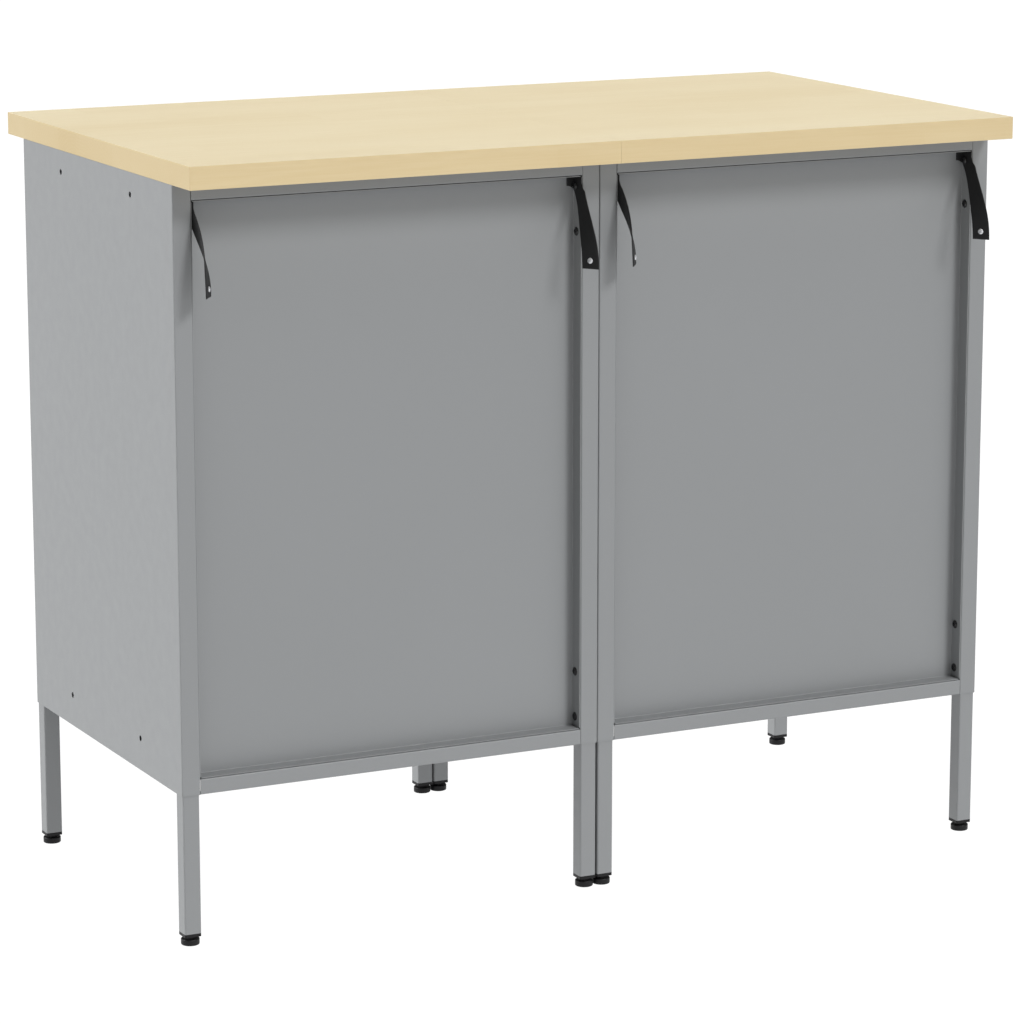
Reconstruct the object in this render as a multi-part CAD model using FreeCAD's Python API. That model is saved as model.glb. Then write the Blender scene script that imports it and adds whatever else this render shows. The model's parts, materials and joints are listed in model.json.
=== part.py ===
import FreeCAD, Part
import math
import os

# A bench of two steel cabinets that stand side by side under two wooden worktops.
# The frame: X to the right seen from the doors, Y to the rear, Z up from the floor.
# The right cabinet is modelled, and the left one is its mirror image.

# ---- driving dimensions, in millimetres -----------------------------------------------
TOTAL_WIDTH = 1000.0
TOTAL_HEIGHT = 850.0
TOP_DEPTH = 550.0
TOP_THICKNESS = 25.0
TOP_SEAM = 0.2
TOP_EDGE_RADIUS = 0.5
TOP_SCREW_X = 180.0
TOP_SCREW_Y = 170.0
TOP_SCREW_RADIUS = 1.9
TOP_SCREW_LENGTH = 16.0
TOP_SCREW_HEAD_RADIUS = 4.0
TOP_SCREW_HEAD_HEIGHT = 2.0
BODY_DEPTH = 450.0
BODY_HEIGHT = 657.0
CABINET_GAP = 0.4

SHEET = 0.8
BEND = 1.6
FIT = 0.05
STILE_WIDTH = 21.2
RAIL_HEIGHT = 17.2
RETURN_DEPTH = 19.0
RAIL_LIP = 12.0
RAIL_END_GAP = 0.1
STOP_LIP = 8.0
STOP_LIP_SETBACK = 20.0
BACK_SETBACK = 19.0
BACK_FLANGE_SETBACK = 1.0
BACK_GAP = 0.7
WING_CLEARANCE = 0.2
WING_WIDTH = 9.0
WING_SETBACK = 2.0

JOIN_HOLE_RADIUS = 3.25
JOIN_HOLE_Y = 105.0
JOIN_HOLE_HEIGHTS = (36.0, 633.0)
BOLT_HOLE_RADIUS = 3.5
BOLT_RADIUS = 3.0
BOLT_PAST_PANELS = 7.0
BOLT_HEAD_RADIUS = 6.0
BOLT_HEAD_HEIGHT = 3.2
NUT_CORNER_RADIUS = 5.8
NUT_HEIGHT = 5.0

SCREW_SETBACK = 12.0
REAR_SCREW_HEIGHTS = (30.0, 82.0, 577.0, 627.0)
FRONT_SCREW_HEIGHTS = (30.0, 82.0)
SCREW_RADIUS = 1.9
SCREW_HOLE_RADIUS = 1.97
SCREW_LENGTH = 8.0
HEAD_RADIUS = 4.8
HEAD_HEIGHT = 2.4
LOW_HEAD_RADIUS = 4.0
LOW_HEAD_HEIGHT = 1.2
HEAD_RIM = 0.5
DOME_SHOULDER_OUT = 0.62
DOME_SHOULDER_UP = 0.72
CROSS_WIDTH = 1.2
CROSS_REACH = 0.55
CROSS_FLOOR = 0.25

LEG_SIZE = 19.2
LEG_WALL = 1.2
LEG_CORNER = 2.0
LEG_INSET = 1.0
LEG_INSERTION = 100.0
CAP_THICKNESS = 3.5
CAP_SPIGOT = 15.0
CAP_SPIGOT_CORNER = 0.7
FOOT_RADIUS = 10.15
FOOT_THICKNESS = 7.0
FOOT_EDGE_RADIUS = 1.2
FOOT_NECK = 3.0
FOOT_NECK_GAP = 0.1
FOOT_HEX = 11.0
STUD_RADIUS = 4.0
STUD_LENGTH = 50.0

DOOR_GAP = 2.5
DOOR_THICKNESS = 18.0
DOOR_INNER_FLANGE = 7.0
DOOR_INNER_GAP = 0.1
HINGE_FROM_EDGE = 8.0
HINGE_FROM_FACE = 6.0
PIN_RADIUS = 2.5
PIN_REACH = 9.0
PIN_HEAD_RADIUS = 4.5
PIN_HEAD_HEIGHT = 1.5
BUSH_RADIUS = 4.0
BUSH_LENGTH = 12.0
BUSH_COLLAR_RADIUS = 5.0
BUSH_COLLAR_HEIGHT = 1.8

FITTING_FROM_EDGE = 22.0
HANDLE_ABOVE_BODY_BOTTOM = 400.0
HANDLE_CENTRES = 96.0
HANDLE_REACH = 26.0
HANDLE_RADIUS = 4.5
HANDLE_CORNER = 12.0
HANDLE_FLARE = 2.0
HANDLE_FLARE_HEIGHT = 3.0
HANDLE_BORE_DEPTH = 13.0
HANDLE_SCREW_RADIUS = 2.0
HANDLE_SCREW_LENGTH = 11.0
HANDLE_SCREW_HEAD_RADIUS = 3.8
HANDLE_SCREW_HEAD_HEIGHT = 2.2
LOCK_BELOW_HANDLE = 90.0
LOCK_RADIUS = 8.0
LOCK_BEZEL_RADIUS = 10.0
LOCK_BEZEL_HEIGHT = 1.5
PLUG_RADIUS = 6.0
KEY_SLOT_WIDTH = 1.2
KEY_SLOT_HEIGHT = 7.0
KEY_SLOT_DEPTH = 3.0
CAM_SETBACK = 21.2
CAM_THICKNESS = 2.0
CAM_REACH = 20.0
CAM_WIDTH = 14.0
CAM_GAP = 1.2
CAM_NUT_RADIUS = 4.5
CAM_NUT_HEIGHT = 1.8
BUMPER_FROM_END = 110.0
BUMPER_RADIUS = 3.0
BUMPER_HEIGHT = 1.7
BUMPER_PLUG_RADIUS = 1.4
BUMPER_HOLE_RADIUS = 1.5

SHELF_HEIGHT = 330.0
SHELF_DEPTH = 390.0
SHELF_FLANGE = 20.0
UPRIGHT_Y = 150.0
UPRIGHT_WIDTH = 24.0
UPRIGHT_DEPTH = 8.0
UPRIGHT_SLOT_PITCH = 50.0
UPRIGHT_SLOTS = 9
UPRIGHT_END_GAP = 0.1
SLOT_WIDTH = 12.0
SLOT_HEIGHT = 4.0
CLIP_WIDTH = 10.0
CLIP_THICKNESS = 1.5
CLIP_BEND = 1.7
CLIP_REACH = 14.0
CLIP_HOOK = 6.0
SHELF_END_GAP = 1.0

STRAP_WIDTH = 20.0
STRAP_THICKNESS = 1.4
STRAP_CLEARANCE = 0.3
STRAP_TOP_BELOW_BODY_TOP = 25.5
STRAP_TOP_DEPTH = 9.0
STRAP_DROP = 89.9
STRAP_SWING = 39.7
STRAP_LIFT = 3.6
STRAP_LIFT_START = 0.11
STRAP_LIFT_SPAN = 0.5
STRAP_TWIST = 36.0
STRAP_TWIST_START = 0.15
STRAP_TWIST_SPAN = 0.75
STRAP_STATIONS = 16
TAB_BELOW_BODY_TOP = 19.0
TAB_HEIGHT = 11.3
TAB_PROUD = 1.0
TAB_ON_BACK = 8.6
TAB_BEND = 1.7
END_SCREW_FROM_END = 9.0
END_SCREW_RADIUS = 3.1
END_SCREW_HEIGHT = 1.6
END_SCREW_TAIL_HEIGHT = 1.2
END_SCREW_SHAFT_RADIUS = 1.5
END_SCREW_HOLE_RADIUS = 1.6
END_SCREW_GAP = 0.1
END_SCREW_BITE = 0.2

# ---- derived places --------------------------------------------------------------------
HALF_SHEET = SHEET / 2
OUTER_X = TOTAL_WIDTH / 2
INNER_X = CABINET_GAP / 2
CABINET_WIDTH = OUTER_X - INNER_X
MIDDLE_X = (OUTER_X + INNER_X) / 2
REAR_Y = BODY_DEPTH / 2
FRONT_Y = -REAR_Y
BODY_TOP = TOTAL_HEIGHT - TOP_THICKNESS
BODY_BOTTOM = BODY_TOP - BODY_HEIGHT
FOOT_STACK = FOOT_THICKNESS + FOOT_NECK + CAP_THICKNESS

OPENING_OUT = OUTER_X - STILE_WIDTH
OPENING_IN = INNER_X + STILE_WIDTH
OPENING_WIDTH = OPENING_OUT - OPENING_IN
OPENING_BOTTOM = BODY_BOTTOM + RAIL_HEIGHT
OPENING_TOP = BODY_TOP - RAIL_HEIGHT

DOOR_WIDTH = OPENING_WIDTH - 2 * DOOR_GAP
DOOR_HEIGHT = OPENING_TOP - OPENING_BOTTOM - 2 * DOOR_GAP
DOOR_BOTTOM = OPENING_BOTTOM + DOOR_GAP
DOOR_TOP = OPENING_TOP - DOOR_GAP
DOOR_BACK_Y = FRONT_Y + DOOR_THICKNESS
HINGE_X = OPENING_OUT - DOOR_GAP - HINGE_FROM_EDGE
HINGE_Y = FRONT_Y + HINGE_FROM_FACE
FITTING_X = OPENING_IN + DOOR_GAP + FITTING_FROM_EDGE
HANDLE_Z = BODY_BOTTOM + HANDLE_ABOVE_BODY_BOTTOM
LOCK_Z = HANDLE_Z - LOCK_BELOW_HANDLE

UPRIGHT_FACE_OUT = OUTER_X - SHEET - FIT - UPRIGHT_DEPTH
UPRIGHT_FACE_IN = INNER_X + SHEET + FIT + UPRIGHT_DEPTH
SHELF_Z = BODY_BOTTOM + SHELF_HEIGHT


def point(x, y, z=0.0):
    return FreeCAD.Vector(x, y, z)


X_AXIS = point(1, 0, 0)
Y_AXIS = point(0, 1, 0)
Z_AXIS = point(0, 0, 1)


def block(x_range, y_range, z_range):
    low = point(x_range[0], y_range[0], z_range[0])
    size = [pair[1] - pair[0] for pair in (x_range, y_range, z_range)]
    return Part.makeBox(size[0], size[1], size[2], low)


def rod(start, axis, radius, length):
    return Part.makeCylinder(radius, length, start, axis)


def joined(shapes):
    whole = shapes[0]
    for shape in shapes[1:]:
        whole = whole.fuse(shape)
    return whole.removeSplitter()


def group(shapes):
    solids = []
    for shape in shapes:
        solids.extend(shape.Solids)
    return Part.makeCompound(solids)


def mirrored(shape):
    return shape.mirror(point(0, 0, 0), X_AXIS)


def both_ends(build):
    """The same fitting at each end of the cabinet's depth."""
    return [build(side) for side in (-1, 1)]


# ---- folded sheet metal ----------------------------------------------------------------
def sheet_edge(corners, offset, radius):
    """One side of a folded sheet: straight runs joined by arcs, offset to the left."""
    edges = []
    last = None
    for index in range(len(corners) - 1):
        run = (corners[index + 1] - corners[index]).normalize()
        left = point(-run.y, run.x)
        if last is None:
            start = corners[0] + left * offset
        else:
            old_run, old_left = last
            turn = 1 if old_run.cross(run).z > 0 else -1
            corner = corners[index]
            centre = corner - old_run * radius + old_left * (turn * radius)
            arc_start = corner - old_run * radius + old_left * offset
            arc_end = corner + run * radius + left * offset
            middle = centre + (corner - centre).normalize() * (radius - turn * offset)
            edges.append(Part.LineSegment(start, arc_start).toShape())
            edges.append(Part.Arc(arc_start, middle, arc_end).toShape())
            start = arc_end
        last = (run, left)
    end = corners[-1] + last[1] * offset
    edges.append(Part.LineSegment(start, end).toShape())
    return edges, edges[0].Vertexes[0].Point, end


def sheet_section(corners, thickness=SHEET, bend=BEND):
    """A folded sheet's cross-section about its mid-line, drawn in the XY plane."""
    corners = [point(u, v) for u, v in corners]
    radius = bend - thickness / 2
    left_edges, left_start, left_end = sheet_edge(corners, thickness / 2, radius)
    right_edges, right_start, right_end = sheet_edge(corners, -thickness / 2, radius)
    caps = [Part.LineSegment(left_start, right_start).toShape(),
            Part.LineSegment(left_end, right_end).toShape()]
    edges = Part.sortEdges(left_edges + right_edges + caps)[0]
    return Part.Face(Part.Wire(edges))


def along_z(section, low, high):
    section.translate(point(0, 0, low))
    return section.extrude(point(0, 0, high - low))


def along_y(section, low, high):
    """The section's own X and Y become the part's X and Z."""
    section.rotate(point(0, 0, 0), X_AXIS, 90)
    section.translate(point(0, low, 0))
    return section.extrude(point(0, high - low, 0))


def along_x(section, low, high):
    """The section's own X and Y become the part's Y and Z."""
    section.rotate(point(0, 0, 0), X_AXIS, 90)
    section.rotate(point(0, 0, 0), Z_AXIS, 90)
    section.translate(point(low, 0, 0))
    return section.extrude(point(high - low, 0, 0))


def pan(width, height, depth):
    """A sheet with four folded edges: outer face on Z = 0, flanges up to Z = depth."""
    def channel(span):
        edge = span / 2 - HALF_SHEET
        return sheet_section([(-edge, depth), (-edge, HALF_SHEET), (edge, HALF_SHEET), (edge, depth)])
    across = along_y(channel(width), -height / 2 + BEND, height / 2 - BEND)
    upright = along_x(channel(height), -width / 2 + BEND, width / 2 - BEND)
    return joined([across, upright])


# ---- cabinet body ----------------------------------------------------------------------
def join_hole_cutters(x, radius):
    start = x - 2 * SHEET
    return [rod(point(start, y, BODY_BOTTOM + height), X_AXIS, radius, 4 * SHEET)
            for y in (-JOIN_HOLE_Y, JOIN_HOLE_Y) for height in JOIN_HOLE_HEIGHTS]


def screw_places():
    """Height and Y of each screw that enters the sides of the rear and front openings."""
    rear = [(REAR_Y - SCREW_SETBACK, BODY_BOTTOM + height) for height in REAR_SCREW_HEIGHTS]
    front = [(FRONT_Y + SCREW_SETBACK, BODY_BOTTOM + height) for height in FRONT_SCREW_HEIGHTS]
    return rear + front


def screw_hole_cutters(x):
    return [rod(point(x - 3, y, z), X_AXIS, SCREW_HOLE_RADIUS, 6) for y, z in screw_places()]


def outer_side_panel():
    skin = OUTER_X - HALF_SHEET
    back = OPENING_OUT + HALF_SHEET
    face = REAR_Y - HALF_SHEET
    end = REAR_Y - RETURN_DEPTH
    corners = [(back, end), (back, face), (skin, face), (skin, -face), (back, -face), (back, -end)]
    panel = along_z(sheet_section(corners), BODY_BOTTOM, BODY_TOP)
    return panel.cut(join_hole_cutters(OUTER_X, JOIN_HOLE_RADIUS) + screw_hole_cutters(OPENING_OUT))


def inner_side_panel():
    skin = INNER_X + HALF_SHEET
    back = OPENING_IN - HALF_SHEET
    face = REAR_Y - HALF_SHEET
    rear_end = REAR_Y - RETURN_DEPTH
    lip_y = FRONT_Y + STOP_LIP_SETBACK + HALF_SHEET
    lip_end = OPENING_IN + STOP_LIP
    corners = [(back, rear_end), (back, face), (skin, face), (skin, -face), (back, -face),
               (back, lip_y), (lip_end, lip_y)]
    panel = along_z(sheet_section(corners), BODY_BOTTOM, BODY_TOP)
    lip_zone = (OPENING_IN, lip_end + 1), (lip_y - 1, lip_y + 1)
    ends = [block(*lip_zone, (BODY_BOTTOM - 1, OPENING_BOTTOM + RAIL_END_GAP)),
            block(*lip_zone, (OPENING_TOP - RAIL_END_GAP, BODY_TOP + 1))]
    holes = join_hole_cutters(INNER_X, BOLT_HOLE_RADIUS) + screw_hole_cutters(OPENING_IN)
    holes += [rod(point(x, lip_y - SHEET, z), Y_AXIS, BUMPER_HOLE_RADIUS, 2 * SHEET)
              for x, z in bumper_places()]
    return panel.cut(ends + holes)


def deck(top):
    """A top or bottom panel: its front and rear flanges are the rails between the stiles."""
    face = REAR_Y - HALF_SHEET
    low = top - RAIL_HEIGHT + HALF_SHEET
    high = top - HALF_SHEET
    lip = REAR_Y - RAIL_LIP
    strip = along_x(sheet_section([(-lip, low), (-face, low), (-face, high), (face, high),
                                   (face, low), (lip, low)]),
                    OPENING_IN + RAIL_END_GAP, OPENING_OUT - RAIL_END_GAP)
    wing_y = REAR_Y - RETURN_DEPTH - WING_SETBACK
    wing_low = low + BEND
    outer = OUTER_X - SHEET - WING_CLEARANCE - HALF_SHEET
    inner = INNER_X + SHEET + WING_CLEARANCE + HALF_SHEET
    wings = [along_y(sheet_section([(outer, wing_low), (outer, high), (OPENING_OUT - WING_WIDTH, high)]),
                     -wing_y, wing_y),
             along_y(sheet_section([(inner, wing_low), (inner, high), (OPENING_IN + WING_WIDTH, high)]),
                     -wing_y, wing_y)]
    return joined([strip] + wings)


def bottom_panel():
    hole = rod(point(HINGE_X, HINGE_Y, OPENING_BOTTOM - 4), Z_AXIS, PIN_RADIUS + FIT, 6)
    return deck(OPENING_BOTTOM).cut(hole)


def top_panel():
    holes = [rod(point(HINGE_X, HINGE_Y, OPENING_TOP - 2), Z_AXIS, PIN_RADIUS + FIT, 6)]
    holes += [rod(point(x, y, BODY_TOP - 2), Z_AXIS, SCREW_HOLE_RADIUS, 4)
              for x, y in worktop_screw_places()]
    return deck(BODY_TOP).cut(holes)


def back_panel():
    width = OPENING_WIDTH - 2 * FIT
    height = OPENING_TOP - OPENING_BOTTOM - 2 * BACK_GAP
    depth = BACK_SETBACK + SHEET - BACK_FLANGE_SETBACK
    panel = pan(width, height, depth)
    panel.rotate(point(0, 0, 0), X_AXIS, -90)
    panel.translate(point(MIDDLE_X, REAR_Y - BACK_SETBACK - SHEET, (OPENING_BOTTOM + OPENING_TOP) / 2))
    return panel.cut(screw_hole_cutters(OPENING_OUT) + screw_hole_cutters(OPENING_IN))


# ---- shelf -----------------------------------------------------------------------------
def upright(skin_x, inward, y):
    """A slotted strip on a side panel, from the bottom panel to the top panel."""
    web = skin_x + inward * (UPRIGHT_DEPTH - SHEET / 2)
    half = UPRIGHT_WIDTH / 2 - HALF_SHEET
    corners = [(skin_x, y - half), (web, y - half), (web, y + half), (skin_x, y + half)]
    strip = along_z(sheet_section(corners), OPENING_BOTTOM + UPRIGHT_END_GAP,
                    OPENING_TOP - UPRIGHT_END_GAP)
    slots = []
    shelf_slot = SHELF_Z - SHELF_FLANGE - CLIP_THICKNESS / 2
    lowest = shelf_slot - (UPRIGHT_SLOTS // 2) * UPRIGHT_SLOT_PITCH
    for step in range(UPRIGHT_SLOTS):
        middle = lowest + step * UPRIGHT_SLOT_PITCH
        slots.append(block((web - 1, web + 1), (y - SLOT_WIDTH / 2, y + SLOT_WIDTH / 2),
                           (middle - SLOT_HEIGHT / 2, middle + SLOT_HEIGHT / 2)))
    return strip.cut(slots)


def shelf_uprights():
    outer_skin = OUTER_X - SHEET - FIT
    inner_skin = INNER_X + SHEET + FIT
    strips = both_ends(lambda side: upright(outer_skin, -1, side * UPRIGHT_Y))
    strips += both_ends(lambda side: upright(inner_skin, 1, side * UPRIGHT_Y))
    return group(strips)


def shelf_clip(web_face, inward, y):
    """A bent tab that hooks up behind the slotted strip and carries the shelf."""
    z = SHELF_Z - SHELF_FLANGE - CLIP_THICKNESS / 2
    hook_x = web_face - inward * (SHEET + FIT + CLIP_THICKNESS / 2)
    corners = [(hook_x, z + CLIP_HOOK), (hook_x, z), (web_face + inward * CLIP_REACH, z)]
    section = sheet_section(corners, CLIP_THICKNESS, CLIP_BEND)
    return along_y(section, y - CLIP_WIDTH / 2, y + CLIP_WIDTH / 2)


def shelf_clips():
    clips = both_ends(lambda side: shelf_clip(UPRIGHT_FACE_OUT, -1, side * UPRIGHT_Y))
    clips += both_ends(lambda side: shelf_clip(UPRIGHT_FACE_IN, 1, side * UPRIGHT_Y))
    return group(clips)


def shelf():
    width = UPRIGHT_FACE_OUT - UPRIGHT_FACE_IN - 2 * SHELF_END_GAP
    tray = pan(width, SHELF_DEPTH, SHELF_FLANGE)
    tray.rotate(point(0, 0, 0), X_AXIS, 180)
    tray.translate(point(MIDDLE_X, 0, SHELF_Z))
    return tray


# ---- worktop ---------------------------------------------------------------------------
def worktop_screw_places():
    return [(MIDDLE_X + x, y) for x in (-TOP_SCREW_X, TOP_SCREW_X) for y in (-TOP_SCREW_Y, TOP_SCREW_Y)]


def worktop():
    board = block((TOP_SEAM / 2, OUTER_X), (-TOP_DEPTH / 2, TOP_DEPTH / 2), (BODY_TOP, TOTAL_HEIGHT))
    rounded = [edge for edge in board.Edges if edge.BoundBox.XMax > TOP_SEAM]
    board = board.makeFillet(TOP_EDGE_RADIUS, rounded)
    holes = [rod(point(x, y, BODY_TOP - 1), Z_AXIS, TOP_SCREW_RADIUS + FIT, TOP_SCREW_LENGTH + 1)
             for x, y in worktop_screw_places()]
    return board.cut(holes)


def worktop_screws():
    screws = []
    for x, y in worktop_screw_places():
        head = rod(point(x, y, BODY_TOP - SHEET - TOP_SCREW_HEAD_HEIGHT), Z_AXIS,
                   TOP_SCREW_HEAD_RADIUS, TOP_SCREW_HEAD_HEIGHT)
        shaft = rod(point(x, y, BODY_TOP - SHEET), Z_AXIS, TOP_SCREW_RADIUS, TOP_SCREW_LENGTH)
        screws.append(joined([head, shaft]))
    return group(screws)


# ---- screws and bolts ------------------------------------------------------------------
def domed_head(radius, height):
    """A truss head on the XY plane, domed towards +Z, with a cross recess."""
    dome = HEAD_RIM + (height - HEAD_RIM) * DOME_SHOULDER_UP
    profile = [Part.LineSegment(point(0, 0, 0), point(radius, 0, 0)).toShape(),
               Part.LineSegment(point(radius, 0, 0), point(radius, 0, HEAD_RIM)).toShape(),
               Part.Arc(point(radius, 0, HEAD_RIM), point(radius * DOME_SHOULDER_OUT, 0, dome),
                        point(0, 0, height)).toShape(),
               Part.LineSegment(point(0, 0, height), point(0, 0, 0)).toShape()]
    head = Part.Face(Part.Wire(profile)).revolve(point(0, 0, 0), Z_AXIS, 360)
    arm = radius * CROSS_REACH
    half = CROSS_WIDTH / 2
    depth = (height * CROSS_FLOOR, height + 1)
    return head.cut([block((-arm, arm), (-half, half), depth), block((-half, half), (-arm, arm), depth)])


def screw(radius, height, shaft_radius, shaft_length):
    """A screw with its head above the XY plane and its shaft below."""
    shaft = rod(point(0, 0, -shaft_length), Z_AXIS, shaft_radius, shaft_length)
    return joined([domed_head(radius, height), shaft])


def hexagon(corner_radius, height):
    """A hexagonal prism that stands on the XY plane."""
    corners = [point(corner_radius * math.cos(math.pi * k / 3), corner_radius * math.sin(math.pi * k / 3))
               for k in range(7)]
    return Part.Face(Part.makePolygon(corners)).extrude(point(0, 0, height))


def aimed(shape, place, direction):
    """Turns the shape's +Z to the direction and moves its origin to the place."""
    shape = shape.copy()
    shape.Placement = FreeCAD.Placement(place, FreeCAD.Rotation(Z_AXIS, direction))
    return shape


def frame_screws():
    """Screws through the sides of the openings: they hold the back panel, straps and legs."""
    truss = screw(HEAD_RADIUS, HEAD_HEIGHT, SCREW_RADIUS, SCREW_LENGTH)
    low = screw(LOW_HEAD_RADIUS, LOW_HEAD_HEIGHT, SCREW_RADIUS, SCREW_LENGTH - 2)
    strap_z = BODY_BOTTOM + REAR_SCREW_HEIGHTS[-1]
    screws = []
    for wall_x, inward in ((OPENING_OUT, -1), (OPENING_IN, 1)):
        for y, z in screw_places():
            if y < 0:
                face, kind = wall_x, low
            else:
                face, kind = wall_x + inward * (SHEET + FIT), truss
            if y > 0 and z == strap_z:
                face += inward * (2 * STRAP_CLEARANCE + STRAP_THICKNESS)
            screws.append(aimed(kind, point(face, y, z), X_AXIS * inward))
    return group(screws)


def joining_bolts():
    """Bolts through the two inner side panels, with a nut on the other side."""
    grip = INNER_X + SHEET
    bolt = screw(BOLT_HEAD_RADIUS, BOLT_HEAD_HEIGHT, BOLT_RADIUS, 2 * grip + BOLT_PAST_PANELS)
    nut = hexagon(NUT_CORNER_RADIUS, NUT_HEIGHT).cut(rod(point(0, 0, -1), Z_AXIS, BOLT_RADIUS + FIT,
                                                         NUT_HEIGHT + 2))
    bolts = []
    for y in (-JOIN_HOLE_Y, JOIN_HOLE_Y):
        for height in JOIN_HOLE_HEIGHTS:
            z = BODY_BOTTOM + height
            bolts.append(aimed(bolt, point(grip, y, z), X_AXIS))
            bolts.append(aimed(nut, point(-grip, y, z), X_AXIS * -1))
    return group(bolts)


# ---- legs and feet ---------------------------------------------------------------------
def square(size, corner, low, high, x, y):
    post = block((x - size / 2, x + size / 2), (y - size / 2, y + size / 2), (low, high))
    upright_edges = [edge for edge in post.Edges if abs(edge.tangentAt(edge.FirstParameter).z) > 0.9]
    return post.makeFillet(corner, upright_edges)


def leg_x(outer):
    offset = LEG_INSET + LEG_SIZE / 2
    return OUTER_X - offset if outer else INNER_X + offset


LEG_Y = REAR_Y - LEG_INSET - LEG_SIZE / 2


def leg(outer, rear):
    """A square tube that plugs up into the corner of the folded side panel."""
    x = leg_x(outer)
    y = LEG_Y if rear else -LEG_Y
    top = BODY_BOTTOM + LEG_INSERTION
    tube = square(LEG_SIZE, LEG_CORNER, FOOT_STACK, top, x, y)
    bore = square(LEG_SIZE - 2 * LEG_WALL, LEG_CORNER - LEG_WALL, FOOT_STACK - 1, top + 1, x, y)
    return tube.cut([bore] + screw_hole_cutters(OPENING_OUT if outer else OPENING_IN))


def leg_places():
    return [(leg_x(outer), y) for outer in (False, True) for y in (-LEG_Y, LEG_Y)]


def leg_caps():
    caps = []
    for x, y in leg_places():
        plate = square(LEG_SIZE, LEG_CORNER, FOOT_STACK - CAP_THICKNESS, FOOT_STACK, x, y)
        spigot = square(LEG_SIZE - 2 * LEG_WALL - 2 * FIT, CAP_SPIGOT_CORNER, FOOT_STACK,
                        FOOT_STACK + CAP_SPIGOT, x, y)
        bore = rod(point(x, y, 0), Z_AXIS, STUD_RADIUS + FIT, FOOT_STACK + CAP_SPIGOT + 1)
        caps.append(joined([plate, spigot]).cut(bore))
    return group(caps + [mirrored(cap) for cap in caps])


def foot(outer, rear):
    """A levelling foot: a round pad, a hexagon for the spanner and a stud."""
    x = leg_x(outer)
    y = LEG_Y if rear else -LEG_Y
    pad = rod(point(x, y, 0), Z_AXIS, FOOT_RADIUS, FOOT_THICKNESS)
    rims = [edge for edge in pad.Edges if len(edge.Vertexes) == 1]
    pad = pad.makeFillet(FOOT_EDGE_RADIUS, rims)
    spanner_grip = hexagon(FOOT_HEX / math.sqrt(3), FOOT_NECK - FOOT_NECK_GAP)
    spanner_grip.translate(point(x, y, FOOT_THICKNESS))
    stud = rod(point(x, y, FOOT_THICKNESS), Z_AXIS, STUD_RADIUS, STUD_LENGTH)
    return joined([pad, spanner_grip, stud])


# ---- door ------------------------------------------------------------------------------
def door_hinge_cutters(radius):
    return [rod(point(HINGE_X, HINGE_Y, z - 3), Z_AXIS, radius, 6) for z in (DOOR_BOTTOM, DOOR_TOP)]


def lock_cutter():
    return rod(point(FITTING_X, FRONT_Y - 1, LOCK_Z), Y_AXIS, LOCK_RADIUS + FIT, DOOR_THICKNESS + 2)


def handle_screw_places():
    return [HANDLE_Z - HANDLE_CENTRES / 2, HANDLE_Z + HANDLE_CENTRES / 2]


def door_skin():
    skin = pan(DOOR_WIDTH, DOOR_HEIGHT, DOOR_THICKNESS - SHEET)
    skin.rotate(point(0, 0, 0), X_AXIS, -90)
    skin.translate(point(MIDDLE_X, FRONT_Y, (DOOR_BOTTOM + DOOR_TOP) / 2))
    holes = door_hinge_cutters(BUSH_RADIUS + FIT) + [lock_cutter()]
    holes += [rod(point(FITTING_X, FRONT_Y - 1, z), Y_AXIS, HANDLE_SCREW_RADIUS + FIT, 4)
              for z in handle_screw_places()]
    return skin.cut(holes)


def door_inner_panel():
    margin = 2 * (SHEET + DOOR_INNER_GAP)
    panel = pan(DOOR_WIDTH - margin, DOOR_HEIGHT - margin, DOOR_INNER_FLANGE)
    panel.rotate(point(0, 0, 0), X_AXIS, 90)
    panel.translate(point(MIDDLE_X, DOOR_BACK_Y, (DOOR_BOTTOM + DOOR_TOP) / 2))
    return panel.cut(lock_cutter())


def hinge_pins():
    """A headed pin in the bottom panel and one in the top rail's lip."""
    low_head = OPENING_BOTTOM - SHEET
    low = joined([rod(point(HINGE_X, HINGE_Y, low_head - PIN_HEAD_HEIGHT), Z_AXIS,
                      PIN_HEAD_RADIUS, PIN_HEAD_HEIGHT),
                  rod(point(HINGE_X, HINGE_Y, low_head), Z_AXIS, PIN_RADIUS,
                      DOOR_BOTTOM + PIN_REACH - low_head)])
    high_head = OPENING_TOP + SHEET
    high = joined([rod(point(HINGE_X, HINGE_Y, high_head), Z_AXIS, PIN_HEAD_RADIUS, PIN_HEAD_HEIGHT),
                   rod(point(HINGE_X, HINGE_Y, DOOR_TOP - PIN_REACH), Z_AXIS, PIN_RADIUS,
                       high_head - DOOR_TOP + PIN_REACH)])
    return group([low, high])


def hinge_bushes():
    bushes = []
    for end, inward in ((DOOR_BOTTOM, 1), (DOOR_TOP, -1)):
        axis = Z_AXIS * inward
        start = point(HINGE_X, HINGE_Y, end - inward * BUSH_COLLAR_HEIGHT)
        bush = joined([rod(start, axis, BUSH_COLLAR_RADIUS, BUSH_COLLAR_HEIGHT),
                       rod(start, axis, BUSH_RADIUS, BUSH_COLLAR_HEIGHT + BUSH_LENGTH)])
        bushes.append(bush.cut(rod(start - axis, axis, PIN_RADIUS + FIT, BUSH_LENGTH + 4)))
    return group(bushes)


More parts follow.
